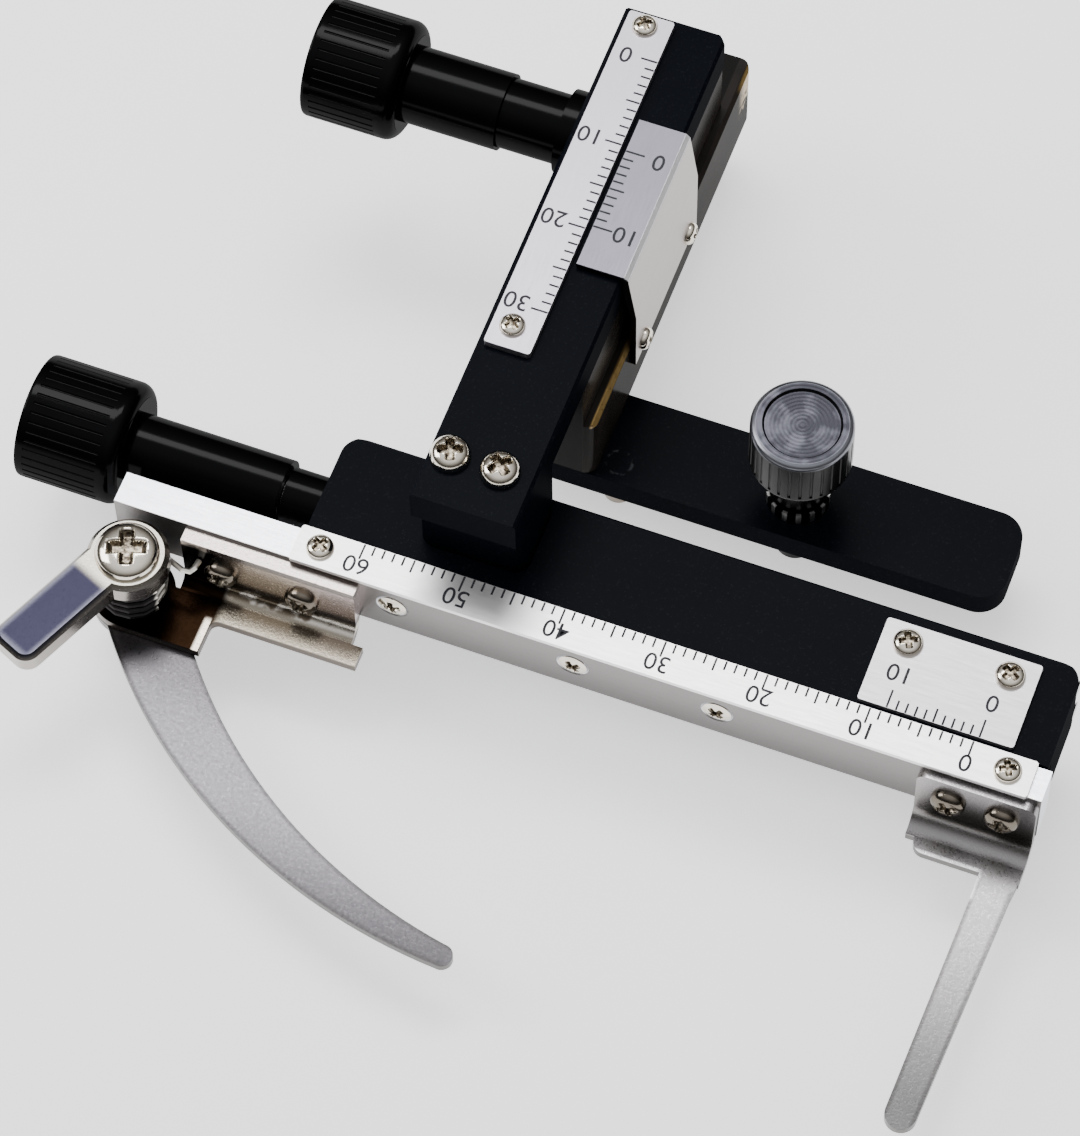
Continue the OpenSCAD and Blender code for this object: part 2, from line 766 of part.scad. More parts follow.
module finger_bracket() {
    bend_front = left_front - left_bend_r;
    color([0.7, 0.67, 0.6]) difference() {
        union() {
            bent_flange(left_flange[0], left_flange[1], shelf_z, flange_top,
                bend_front - 0.1, left_bend_r, pad_t);
            translate([0, 0, shelf_z]) linear_extrude(sheet_t) difference() {
                union() {
                    translate([pivot[0], shelf_front]) square([shelf_right - pivot[0], bend_front - shelf_front]);
                    translate([pivot[0], ear_front]) square([ear_right - pivot[0], bend_front - ear_front]);
                    translate(pivot) circle(r = lobe_r);
                    translate([ear_right, shelf_front - 0.8]) square([0.8, 0.8 + eps]);
                }
                translate([ear_right + 0.8, shelf_front - 0.8]) circle(r = 0.8);
                translate([left_flange[0], bend_front]) square(30);
            }
        }
        translate([pivot[0], pivot[1], -1]) cylinder(r = sleeve_r + seat, h = 6);
        for (x = left_screw_x) front_at(x, left_front, left_screw_z) screw_hole(0.8, 2);
    }
}

module finger_bracket_screws() {
    color([0.78, 0.76, 0.7]) for (x = left_screw_x)
        front_at(x, left_front, left_screw_z) pan_screw(1.7, 1.1, 0.8, 3.6);
}

module pivot_sleeve() {
    color([0.75, 0.73, 0.68]) translate([pivot[0], pivot[1], shelf_z]) difference() {
        cylinder(r = sleeve_r, h = lever_z - 0.1 - shelf_z);
        translate([0, 0, -1]) cylinder(r = spindle_r + run, h = 10);
    }
}

// Ring of points of radius r about p, square to the direction d
function ring(p, d, r, sides) =
    let (side = cross(d, [0, 0, 1]), u = side / norm(side), v = cross(u, d / norm(d)))
    [for (i = [0 : sides - 1]) p + r * cos(i * 360 / sides) * u + r * sin(i * 360 / sides) * v];

// Closed tube of radius r along a list of points
module tube(path, r, sides) {
    last = len(path) - 1;
    dirs = [for (i = [0 : last]) path[min(i + 1, last)] - path[max(i - 1, 0)]];
    pts = [for (i = [0 : last]) each ring(path[i], dirs[i], r, sides)];
    walls = [for (i = [0 : last - 1], j = [0 : sides - 1])
        let (a = i * sides + j, b = i * sides + (j + 1) % sides)
        each [[a, b, b + sides], [a, b + sides, a + sides]]];
    ends = concat(
        [[for (j = [0 : sides - 1]) sides - 1 - j]],
        [[for (j = [0 : sides - 1]) last * sides + j]]);
    polyhedron(concat(pts), concat(walls, ends));
}

module return_spring() {
    steps = 14 * spring_turns;
    rise = (coil_z1 - coil_z0) / spring_turns;
    coil = [for (i = [0 : steps])
        let (a = leg_angle + 360 * spring_turns * (1 - i / steps))
        [pivot[0] + coil_r * cos(a), pivot[1] + coil_r * sin(a), coil_z0 + (coil_z1 - coil_z0) * i / steps]];
    leg_dir = [sin(leg_angle), -cos(leg_angle), 0];
    start = coil[steps];
    leg = [start + 1.2 * leg_dir, start + 4.6 * leg_dir, start + 5.4 * leg_dir + [0, 0.35, 0],
        start + 5.7 * leg_dir + [0, 1, 0], start + 5.8 * leg_dir + [0, 1.9, 0]];
    echo(least_gap = rise - 2 * wire_r);
    color([0.6, 0.6, 0.6]) tube(concat(coil, leg), wire_r, 8);
}

// ---------------------------------------------------------------- swing finger

module swing_finger() {
    outer_at = [-11.5, 0.8];
    inner_at = [-5.2, -0.9];
    tip_x = -15.1;
    tip_low = outer_at[1] - sqrt(pow(curve_outer_r, 2) - pow(tip_x - outer_at[0], 2));
    tip_high = inner_at[1] - sqrt(pow(curve_inner_r, 2) - pow(tip_x - inner_at[0], 2));
    color([0.72, 0.7, 0.66]) translate([0, 0, finger_z]) difference() {
        union() {
            difference() {
                intersection() {
                    translate(outer_at) cylinder(r = curve_outer_r, h = sheet_t, $fn = 180);
                    box([-70, -70, 0], [tip_x, pivot[1], sheet_t]);
                }
                translate([inner_at[0], inner_at[1], -1])
                    cylinder(r = curve_inner_r, h = sheet_t + 2, $fn = 180);
            }
            translate(pivot) cylinder(r = lobe_r, h = sheet_t);
            translate([tip_x, (tip_low + tip_high) / 2, 0])
                cylinder(r = (tip_high - tip_low) / 2, h = sheet_t);
        }
        translate([pivot[0], pivot[1], -1]) cylinder(r = spindle_r + seat, h = 4);
    }
}

module pivot_spindle() {
    color([0.75, 0.73, 0.68]) translate([pivot[0], pivot[1], 0]) difference() {
        union() {
            translate([0, 0, finger_z]) cylinder(r = spindle_r, h = lever_z - finger_z);
            translate([0, 0, lever_z - eps]) cylinder(r = 1.5, h = lever_t - 0.1);
        }
        translate([0, 0, lever_z - 1]) cylinder(r = 0.75 + seat, h = 5);
    }
}

module finger_lever() {
    bevel = 0.45;
    corner = 1.5;
    color([0.45, 0.47, 0.58]) translate([pivot[0], pivot[1], lever_z]) difference() {
        union() {
            cylinder(r = lobe_r - 0.1, h = lever_t - bevel);
            translate([0, 0, lever_t - bevel])
                cylinder(r1 = lobe_r - 0.1, r2 = lobe_r - 0.1 - bevel, h = bevel);
            rotate(lever_angle) hull()
                for (x = [0, lever_len - corner], y = [lever_shift - 1, lever_shift + 1] )
                    translate([x, y, 0]) {
                        cylinder(r = corner, h = lever_t - bevel, $fn = 32);
                        cylinder(r = corner - bevel, h = lever_t, $fn = 32);
                    }
        }
        translate([0, 0, -1]) cylinder(r = 1.5 + seat, h = 5);
    }
}

module pivot_screw() {
    color([0.82, 0.8, 0.74]) translate([pivot[0], pivot[1], lever_z + lever_t])
        pan_screw(2.95, 1.4, 0.75, 3);
}

mount_bracket();
locating_pin();
thumbscrew();
guide_block();
guide_screws();
pinion_bush();
y_vernier_block();
y_vernier_screws();
y_pinion_shaft();
y_pinion();
y_knob();
y_rail();
y_rack();
rack_screws();
y_scale_plate();
y_scale_screws();
rail_screws();
x_housing();
x_end_cap();
x_end_cap_screws();
x_vernier_plate();
x_vernier_screws();
x_bush();
x_lead_screw();
x_knob();
slider_bar();
x_scale_plate();
x_scale_screws();
slide_tongue();
tongue_screws();
drive_nut();
right_finger();
right_finger_screws();
finger_bracket();
finger_bracket_screws();
pivot_sleeve();
return_spring();
swing_finger();
pivot_spindle();
finger_lever();
pivot_screw();
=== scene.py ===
from math import cos, hypot, pi, radians, sin
import bpy
import bmesh
from mathutils import Matrix, Vector


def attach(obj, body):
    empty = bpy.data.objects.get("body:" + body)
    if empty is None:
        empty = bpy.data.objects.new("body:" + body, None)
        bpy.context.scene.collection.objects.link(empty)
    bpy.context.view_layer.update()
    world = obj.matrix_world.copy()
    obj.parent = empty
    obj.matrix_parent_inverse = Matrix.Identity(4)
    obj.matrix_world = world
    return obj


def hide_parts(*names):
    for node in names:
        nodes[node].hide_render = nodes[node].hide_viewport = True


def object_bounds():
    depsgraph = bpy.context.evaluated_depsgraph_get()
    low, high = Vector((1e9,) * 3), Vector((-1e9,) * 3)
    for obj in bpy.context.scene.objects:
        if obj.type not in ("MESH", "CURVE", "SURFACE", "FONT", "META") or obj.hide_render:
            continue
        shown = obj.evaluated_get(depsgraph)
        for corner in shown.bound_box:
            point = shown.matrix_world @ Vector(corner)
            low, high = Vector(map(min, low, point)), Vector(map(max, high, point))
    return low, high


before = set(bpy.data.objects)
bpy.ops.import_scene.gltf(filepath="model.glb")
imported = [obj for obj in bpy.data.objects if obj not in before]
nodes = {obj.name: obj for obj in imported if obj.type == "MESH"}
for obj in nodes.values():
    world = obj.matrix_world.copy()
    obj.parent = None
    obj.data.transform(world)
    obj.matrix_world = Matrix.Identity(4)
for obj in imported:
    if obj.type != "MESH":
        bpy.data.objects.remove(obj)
cad_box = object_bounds()
MM = 0.001

# Places in the part's frame, in millimetres.
X_PLATES_TOP = 10.4
Y_PLATES_TOP = 23.5
RAIL_FOOT_TOP = 22.7
BAR_FRONT = -26.5
FINGER_FLANGE = -27.5
BRACKET_FLANGE = -28.0
BLOCK_SIDE = -18.5
PIN_AXIS = (-17.4, -2.4)
PIVOT_AXIS = (-56.1, -31.1)
PIVOT_TOP = 9.5
FLOOR_HALF_M = 1.5


# ---------------------------------------------------------------- camera, light and floor

def photo_camera():
    data = bpy.data.cameras.new("photo_camera")
    data.lens = 163.4
    data.sensor_width = 36
    camera = bpy.data.objects.new("photo_camera", data)
    turn = (Matrix.Rotation(radians(21.80), 4, "Z") @ Matrix.Rotation(radians(28.99), 4, "X")
            @ Matrix.Rotation(radians(-1.41), 4, "Z"))
    eye = turn @ Vector((-39.75, 16.01, 473.0)) + Vector((24.8, -23.1, 10.4))
    camera.matrix_world = Matrix.Translation(eye * MM) @ turn
    bpy.context.scene.collection.objects.link(camera)
    bpy.context.scene.camera = camera


def soft_light(name, place, target, size, watts):
    data = bpy.data.lights.new(name, "AREA")
    data.shape = "RECTANGLE"
    data.size, data.size_y = size[0] * MM, size[1] * MM
    data.energy = watts
    light = bpy.data.objects.new(name, data)
    place, target = Vector(place) * MM, Vector(target) * MM
    aim = (place - target).to_track_quat("Z", "Y").to_matrix().to_4x4()
    light.matrix_world = Matrix.Translation(place) @ aim
    bpy.context.scene.collection.objects.link(light)


def studio_world(stops):
    """A soft room; each stop is the sine of a height above the horizon, and the light from there."""
    world = bpy.data.worlds.new("studio")
    world.use_nodes = True
    tree = world.node_tree
    way = tree.nodes.new("ShaderNodeTexCoord")
    split = tree.nodes.new("ShaderNodeSeparateXYZ")
    ramp = tree.nodes.new("ShaderNodeValToRGB")
    marks = ramp.color_ramp.elements
    for height, light in stops[2:]:
        marks.new(height)
    for mark, (height, light) in zip(marks, stops):
        mark.position, mark.color = height, (*light, 1)
    tree.links.new(way.outputs["Generated"], split.inputs[0])
    tree.links.new(split.outputs["Z"], ramp.inputs[0])
    tree.links.new(ramp.outputs[0], tree.nodes["Background"].inputs["Color"])
    bpy.context.scene.world = world


# ---------------------------------------------------------------- shader writing

class Value:
    """An output of a material's node that adds Math nodes when it is used in an expression."""

    def __init__(self, finish, made, output=0):
        self.finish, self.made, self.socket = finish, made, made.outputs[output]

    def out(self, name):
        return Value(self.finish, self.made, name)

    def maths(self, operation, *terms):
        return self.finish.node("ShaderNodeMath", {"operation": operation}, dict(enumerate(terms)))

    def __add__(self, other):
        return self.maths("ADD", self, other)

    def __sub__(self, other):
        return self.maths("SUBTRACT", self, other)

    def __rsub__(self, other):
        return self.maths("SUBTRACT", other, self)

    def __mul__(self, other):
        return self.maths("MULTIPLY", self, other)

    def __pow__(self, other):
        return self.maths("POWER", self, other)

    __radd__, __rmul__ = __add__, __mul__

    def most(self, other):
        return self.maths("MAXIMUM", self, other)

    def size(self):
        return self.maths("ABSOLUTE", self)

    def wave(self):
        return self.maths("SINE", self)

    def above(self, low, high):
        """0 under low, 1 over high, and smooth between them."""
        return self.finish.node("ShaderNodeMapRange", {"interpolation_type": "SMOOTHSTEP"},
                                {0: self, 1: low, 2: high, 3: 0.0, 4: 1.0})


class Finish:
    """A procedural material with one Principled shader; places are in the part's frame, in mm."""

    def __init__(self, name, **constants):
        self.material = bpy.data.materials.new(name)
        self.material.use_nodes = True
        self.tree = self.material.node_tree
        self.shader = self.tree.nodes["Principled BSDF"]
        for socket, value in constants.items():
            self.feed(socket, value)
        here = self.node("ShaderNodeTexCoord").out("Object")
        self.place = self.node("ShaderNodeVectorMath", {"operation": "SCALE"}, {0: here, "Scale": 1 / MM})

    def node(self, kind, settings=None, sockets=None):
        made = self.tree.nodes.new(kind)
        for setting, value in (settings or {}).items():
            setattr(made, setting, value)
        for where, value in (sockets or {}).items():
            if isinstance(value, Value):
                self.tree.links.new(value.socket, made.inputs[where])
            else:
                made.inputs[where].default_value = value
        return Value(self, made)

    def feed(self, socket, value):
        socket = socket.replace("_", " ")
        if isinstance(value, Value):
            self.tree.links.new(value.socket, self.shader.inputs[socket])
        else:
            value = (*value, 1) if isinstance(value, tuple) else value
            self.shader.inputs[socket].default_value = value

    def stretched(self, scale):
        return self.node("ShaderNodeVectorMath", {"operation": "MULTIPLY"}, {0: self.place, 1: scale})

    def noise(self, scale, detail=3.0, rough=0.55, place=None):
        return self.node("ShaderNodeTexNoise", None, {"Vector": place or self.place, "Scale": scale,
                                                      "Detail": detail, "Roughness": rough})

    def blend(self, factor, first, second):
        return self.node("ShaderNodeMix", {"data_type": "RGBA"},
                         {0: factor, 6: first if isinstance(first, Value) else (*first, 1),
                          7: second if isinstance(second, Value) else (*second, 1)}).out(2)

    def axes(self):
        split = self.node("ShaderNodeSeparateXYZ", None, {0: self.place})
        return split.out("X"), split.out("Y"), split.out("Z")

    def bump(self, height, distance):
        self.feed("Normal", self.node("ShaderNodeBump", None,
                                      {"Height": height, "Distance": distance * MM, "Strength": 1.0}))


def away(x, y, centre):
    """Distance from an upright axis."""
    return ((x - centre[0]) ** 2 + (y - centre[1]) ** 2) ** 0.5


# ---------------------------------------------------------------- finishes

def black_paint():
    paint = Finish("satin_black_paint", Specular_IOR_Level=0.0, Coat_Weight=0.036, Coat_Roughness=0.34)
    x, y, z = paint.axes()
    grain = paint.noise(9.0, 4.0)
    cloud = paint.noise(0.12, 2.0)
    fleck = paint.noise(4.5, 2.0, 0.6).above(0.60, 0.70)
    pin_radius = 1.3
    rivet = (away(x, y, PIN_AXIS) - pin_radius).size()
    ring = (1 - rivet.above(0.05, 0.22)) * (1 - z.above(3.1, 3.3))
    tone = paint.blend(cloud, (0.0014, 0.0021, 0.0040), (0.0028, 0.0036, 0.0058))
    tone = paint.blend(0.5 * fleck, tone, (0.013, 0.014, 0.018))
    worn_ring = 0.7 * ring * paint.noise(1.1).above(0.45, 0.6)
    paint.feed("Base_Color", paint.blend(worn_ring, tone, (0.05, 0.055, 0.06)))
    paint.feed("Roughness", 0.42 + 0.16 * (grain - 0.5) + 0.1 * (cloud - 0.5))
    paint.bump(grain + 0.6 * paint.noise(2.2, 2.0) - 2.0 * ring, 0.010)
    return paint


def guide_finish():
    """Glossy brown-black over brass, bared along the shoulder's edge and at its back end; the right side
    carries a painted reflection, and the bared edge, kept to the near part, also serves as a painted edge
    highlight.
    """
    guide = Finish("black_over_brass", Specular_IOR_Level=0.0, Coat_Weight=0.16, Coat_Roughness=0.2)
    x, y, z = guide.axes()
    worn = guide.noise(1.3, 4.0)
    side = x.above(-20.4, -20.3)
    # The shoulder's edge is bared only along the near part, where it stands in for an edge highlight:
    # partly wear, partly painted highlight.
    near_part = 1 - y.above(3.0, 7.0)
    edge = x.above(-19.75, -19.5) * z.above(11.15, 11.3) * near_part * worn.above(0.22, 0.4)
    patch = x.above(-19.5, -19.2) * y.above(36.2, 38.6) * z.above(5.0, 7.0)
    patch = patch * (worn + 0.1 * (z - 9.0)).above(0.3, 0.5)
    bare_brass_and_highlight = edge.most(patch)
    grain = guide.noise(6.0, 3.0)
    # Painted reflection: the right side face's coat is painted lighter, as the pale floor mirrored in it.
    coat_and_side_reflection = guide.blend(side * guide.noise(0.25, 2.0), (0.006, 0.0055, 0.005), (0.030, 0.025, 0.022))
    metal = guide.blend(worn, (0.20, 0.12, 0.035), (0.42, 0.29, 0.11))
    guide.feed("Base_Color", guide.blend(bare_brass_and_highlight, coat_and_side_reflection, metal))
    guide.feed("Metallic", 0.9 * bare_brass_and_highlight)
    guide.feed("Roughness", 0.30 + 0.1 * grain)
    guide.bump(grain, 0.006)
    return guide


def black_plastic():
    plastic = Finish("gloss_black_plastic", Specular_IOR_Level=0.0,
                     Coat_Weight=0.12, Coat_Roughness=0.14)
    grain = plastic.noise(5.0, 3.0)
    cloud = plastic.noise(0.25, 2.0)
    plastic.feed("Base_Color", plastic.blend(cloud, (0.0006, 0.0006, 0.0008), (0.0014, 0.0014, 0.0017)))
    plastic.feed("Roughness", 0.30 + 0.1 * (grain - 0.5))
    plastic.bump(grain, 0.002)
    return plastic


def drawn_metal(name, colour, shade, rough, stretch, grain_depth, cloud_scale=0.15, speckle=0.0,
                marks=None):
    """Metal with fine drawn lines; stretch is small along the lines, and marks changes its colour, also
    with painted shade and painted highlights.
    """
    metal = Finish(name, Metallic=1.0)
    lines = metal.noise(6.0, 3.0, 0.6, metal.stretched(stretch))
    cloud = metal.noise(cloud_scale, 2.0)
    spots = metal.noise(3.2, 4.0, 0.7)
    tone = metal.blend(0.4 * lines + 0.4 * cloud + 0.2 * spots, shade, colour)
    if marks:
        tone = marks(metal, tone, *metal.axes())
    metal.feed("Base_Color", tone)
    metal.feed("Roughness", rough + 0.16 * (lines - 0.5) + speckle * (spots - 0.5))
    metal.bump(lines + speckle * 2.0 * spots, grain_depth)
    return metal


def bar_front_shade(metal, tone, x, y, z):
    """The slider's front face: painted shade, darker than its top and darker towards the bottom."""
    # Painted shade: the front face is darkened, most towards the bottom.
    face = metal.blend(z.above(2.0, 9.0), (0.12, 0.112, 0.110), (0.245, 0.232, 0.226))
    return metal.blend(1 - y.above(BAR_FRONT + 0.03, BAR_FRONT + 0.08), tone, face)


def block_painted_light_and_dark_end(metal, tone, x, y, z):
    """A painted highlight along the top's right edge, the right side painted lighter than the top, and
    the near end face coloured near black.
    """
    # Painted highlight: a bright line along the top's right edge.
    bevel_highlight = x.above(-19.80, -19.72) * (1 - x.above(-19.36, -19.30)) * z.above(22.9, 23.1)
    # The near end face, under the top, is coloured near black.
    near = (1 - y.above(5.32, 5.36)) * (1 - z.above(23.2, 23.4))
    # Painted light: the right side face is coloured lighter than the top.
    tone = metal.blend(x.above(-19.34, -19.30), tone, (0.44, 0.41, 0.39))
    return metal.blend(near, metal.blend(bevel_highlight, tone, (0.95, 0.94, 0.97)), (0.012, 0.011, 0.010))


# Painted dark reflection along the fingers' bevelled rims.
RIM_SHADE_COLOUR = (0.030, 0.029, 0.028)


def finger_sole(metal, tone, z):
    """The underside of either finger."""
    return metal.blend(1 - z.above(0.9, 1.15), tone, (0.14, 0.135, 0.13))


def flange_shade_and_highlights(metal, tone, x, y, z):
    """The fixed finger, in painted light: its flange is painted darker downward and lighter at its left,
    its arm darker towards the tip, its front edge a painted highlight line, and its rim a painted dark
    reflection.
    """
    # Painted shade: the flange's face darkens downward and is painted lighter at its left.
    face = metal.blend(z.above(4.2, 9.3), (0.06, 0.055, 0.050), (0.30, 0.285, 0.29))
    face = metal.blend((1 - x.above(21.2, 23.0)) * 0.6, face, (0.40, 0.38, 0.37))
    # Painted shade: the arm is lighter near its root and darker towards its tip.
    tone = metal.blend(y.above(-56.0, -32.0), tone, (0.26, 0.25, 0.25))
    tone = metal.blend(z.above(1.9, 2.6), tone, face)
    # Painted highlight: a bright line along the foot's front edge.
    edge = (1 - y.above(-30.85, -30.6)) * y.above(-34.3, -33.6) * (1 - x.above(28.2, 29.0))
    edge = edge * z.above(1.0, 1.15)
    # Painted dark reflection along both rims of the arm.
    left = x - (28.6 + 0.027 * (y + 34.0))
    right = 32.1 + 0.049 * (y + 32.7) - x
    rim = (1 - left.above(0.15, 0.5)).most(1 - right.above(0.15, 0.5)) * (1 - y.above(-32.4, -31.4))
    tone = metal.blend(0.6 * rim, tone, RIM_SHADE_COLOUR)
    tone = metal.blend(edge, tone, (0.92, 0.90, 0.90))
    return finger_sole(metal, tone, z)


def curve_shade_and_rims(metal, tone, x, y, z):
    """The curved finger: painted lighter in its middle and darker towards both ends, with a painted dark
    reflection along both arcs.
    """
    outer_arc, inner_arc = (-11.5, 0.8), (-5.2, -0.9)
    outer = 58.1 - away(x, y, outer_arc)
    inner = away(x, y, inner_arc) - 55.0
    rim = (1 - outer.above(0.12, 0.5)).most(1 - inner.above(0.12, 0.5))
    # Painted shade: darker towards the tip, and somewhat darker towards the root.
    tone = metal.blend(0.8 * (1 - y.above(-58.0, -46.0)), tone, (0.024, 0.023, 0.024))
    tone = metal.blend(0.5 * y.above(-43.0, -36.0), tone, (0.050, 0.047, 0.048))
    # Painted dark reflection along both arcs.
    tone = metal.blend(0.6 * rim, tone, RIM_SHADE_COLOUR)
    return finger_sole(metal, tone, z)


def bracket_tone_and_painted_light(metal, tone, x, y, z):
    """Nickel gone brown, with painted light: a face painted dark at its left with a painted band along
    its top, a painted black shade band and a painted highlight band in the bend, and a painted dark ear
    with a painted highlight on its edge.
    """
    patchy = metal.noise(0.55, 2.0, 0.5)
    # Painted shade: the flange's face is near black at its left.
    face = metal.blend(x.above(-48.2, -45.5), (0.002, 0.0015, 0.001), (0.85, 0.72, 0.60))
    face = metal.blend(x.above(-41.0, -36.5), face, (0.80, 0.68, 0.66))
    # Painted shade: a near black band low on the face, in the bend.
    face = metal.blend(0.85 * (1 - z.above(3.9, 4.9)), face, (0.006, 0.004, 0.003))
    # Painted reflection: a band along the top of the face, coloured like the lit top strip.
    face = metal.blend(z.above(8.35, 8.75), face, (0.40, 0.355, 0.33))
    # Painted highlight: bright patches in the bend.
    gleam = (patchy + 0.02 * (x + 42.0)).above(0.42, 0.56)
    bend = metal.blend(gleam, (0.16, 0.13, 0.095), (0.90, 0.85, 0.77))
    foot = metal.blend(z.above(2.36, 2.6), (0.22, 0.195, 0.155), bend)
    # Painted shade: the ear is near black.
    ear = (1 - x.above(-47.9, -46.9)) * (1 - z.above(4.0, 6.0))
    ear_shade = metal.blend(patchy, (0.0015, 0.0007, 0.0003), (0.010, 0.005, 0.0026))
    foot = metal.blend(ear, foot, ear_shade)
    # Painted highlight along the ear's edge.
    bright = x.above(-48.7, -48.3) * (1 - x.above(-47.95, -47.85)) * (1 - y.above(-31.9, -31.2))
    foot = metal.blend(bright, foot, (0.42, 0.37, 0.31))
    tone = metal.blend(z.above(3.1, 3.7), foot, face)
    return metal.blend(1 - z.above(2.0, 2.2), tone, (0.10, 0.08, 0.065))


def lever_painted_reflections(metal, tone, x, y, z):
    """The lever: blue-grey along its middle, painted lighter towards its rolled edge and its tip as
    painted reflections, a painted highlight ring, and a top painted far darker than its sides and
    underside.
    """
    way = (-0.399, -0.917)
    from_pivot = (x - PIVOT_AXIS[0], y - PIVOT_AXIS[1])
    across = (-way[1] * from_pivot[0] + way[0] * from_pivot[1] + 0.8).size()
    along = way[0] * from_pivot[0] + way[1] * from_pivot[1]
    ring = 1 - along.above(3.4, 4.6)
    # Painted reflection: lighter towards the rolled edge.
    tone = metal.blend(across.above(1.5, 2.3), tone, (0.075, 0.075, 0.095))
    # Painted reflection: lighter towards the tip.
    tone = metal.blend(along.above(13.6, 14.5), tone, (0.06, 0.06, 0.078))
    # Painted highlight: a bright ring at the pivot.
    tone = metal.blend(ring, tone, (0.30, 0.28, 0.24))
    # Painted dark reflection: the top is far darker than the sides and underside.
    return metal.blend(1 - z.above(9.0, 9.45), tone, (0.40, 0.37, 0.34))


def spring_leg_highlight(metal, tone, x, y, z):
    """The spring's leg carries a painted highlight, brighter than its coil, whose dark colour is painted
    shade.
    """
    return metal.blend(x.above(-53.2, -52.9), tone, (0.80, 0.76, 0.68))


def thumb_finish():
    """Plated thumbscrew, its colours darkened as painted shade: rings turned in its clouded top, a
    painted highlight on its rim, painted shade in its grooves and on its neck, and painted glints on its
    collar.
    """
    plated = Finish("turned_plated_steel", Metallic=1.0)
    x, y, z = plated.axes()
    radius = (x * x + y * y) ** 0.5
    rings = (radius * 16.0).wave()
    cloud = plated.noise(0.38, 3.0)
    top = z.above(16.3, 16.45)
    # Painted glints: bright spots around the collar.
    glint = (y.maths("ARCTAN2", y, x) * 14.0).wave().above(0.1, 0.6)
    # Painted shade: the top is coloured far darker than plated steel.
    face = (cloud + 0.025 * rings).above(0.40, 0.66)
    face = plated.blend(face, (0.018, 0.018, 0.022), (0.055, 0.055, 0.066))
    # Painted highlight on the top's rim.
    rim = radius.above(4.35, 4.6) * z.above(16.05, 16.3)
    # Painted shade: the sides are near black, darkest in the grooves.
    side = plated.blend(radius.above(4.72, 4.90), (0.0015, 0.0015, 0.0015), (0.016, 0.0155, 0.015))
    collar = radius.above(2.75, 2.95) * (1 - z.above(4.7, 4.9))
    # Painted shade on the neck, broken by the painted glints.
    neck = plated.blend(collar * glint, (0.004, 0.004, 0.004), (0.90, 0.88, 0.86))
    side = plated.blend(1 - z.above(10.3, 10.5), side, neck)
    plated.feed("Base_Color", plated.blend(rim, plated.blend(top, side, face), (0.20, 0.205, 0.23)))
    plated.feed("Roughness", 0.24 + 0.14 * cloud)
    plated.bump(0.4 * rings * top + 1.5 * cloud, 0.006)
    return plated


def recess_finish():
    """The shaded inside of a screw's cross."""
    recess = Finish("screw_recess", Metallic=1.0)
    cloud = recess.noise(2.5, 3.0).above(0.35, 0.65)
    recess.feed("Base_Color", recess.blend(cloud, (0.035, 0.028, 0.020), (0.30, 0.26, 0.20)))
    recess.feed("Roughness", 0.25 + 0.1 * recess.noise(5.0))
    return recess


def ink_finish():
    ink = Finish("scale_ink", Specular_IOR_Level=0.2)
    ink.feed("Base_Color", ink.blend(ink.noise(4.0, 3.0), (0.012, 0.012, 0.015), (0.045, 0.045, 0.055)))
    ink.feed("Roughness", 0.5 + 0.2 * ink.noise(7.0))
    return ink


def floor_finish():
    floor = Finish("pale_floor", Roughness=0.85, Specular_IOR_Level=0.1,
                   Emission_Color=(1, 1, 1), Emission_Strength=0.9)
    floor.feed("Base_Color", floor.blend(floor.noise(0.02, 2.0), (0.90, 0.90, 0.90), (0.93, 0.93, 0.93)))
    return floor


# ---------------------------------------------------------------- pieces

def piece(name, mesh_maker, finish, body, sharp=35, inner=None):
    shape = bmesh.new()
    mesh_maker(shape)
    bmesh.ops.recalc_face_normals(shape, faces=shape.faces)
    mesh = bpy.data.meshes.new(name)
    shape.to_mesh(mesh)
    shape.free()
    mesh.transform(Matrix.Scale(MM, 4))
    mesh.shade_smooth()
    mesh.set_sharp_from_angle(angle=radians(sharp))
    mesh.materials.append(finish.material)
    if inner:
        mesh.materials.append(inner.material)
    made = bpy.data.objects.new(name, mesh)
    bpy.context.scene.collection.objects.link(made)
    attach(made, body)
    return made


UP = Matrix.Identity(4)
FRONT = Matrix.Rotation(radians(90), 4, "X")
RIGHT = Matrix.Rotation(radians(90), 4, "Y")


def cross_recess(x, y, radius):
    """Depth of a cross recess at (x, y), from 0 at the surface to 1 at its floor."""
    arm, reach, wall = 0.13 * radius, 0.62 * radius, 0.10 * radius
    along_x = min((arm + wall - abs(y)) / wall, (reach - abs(x)) / (1.6 * wall))
    along_y = min((arm + wall - abs(x)) / wall, (reach - abs(y)) / (1.6 * wall))
    hub = (0.30 * radius - hypot(x, y)) / wall
    return max(0.0, min(1.0, max(along_x, along_y, hub)))


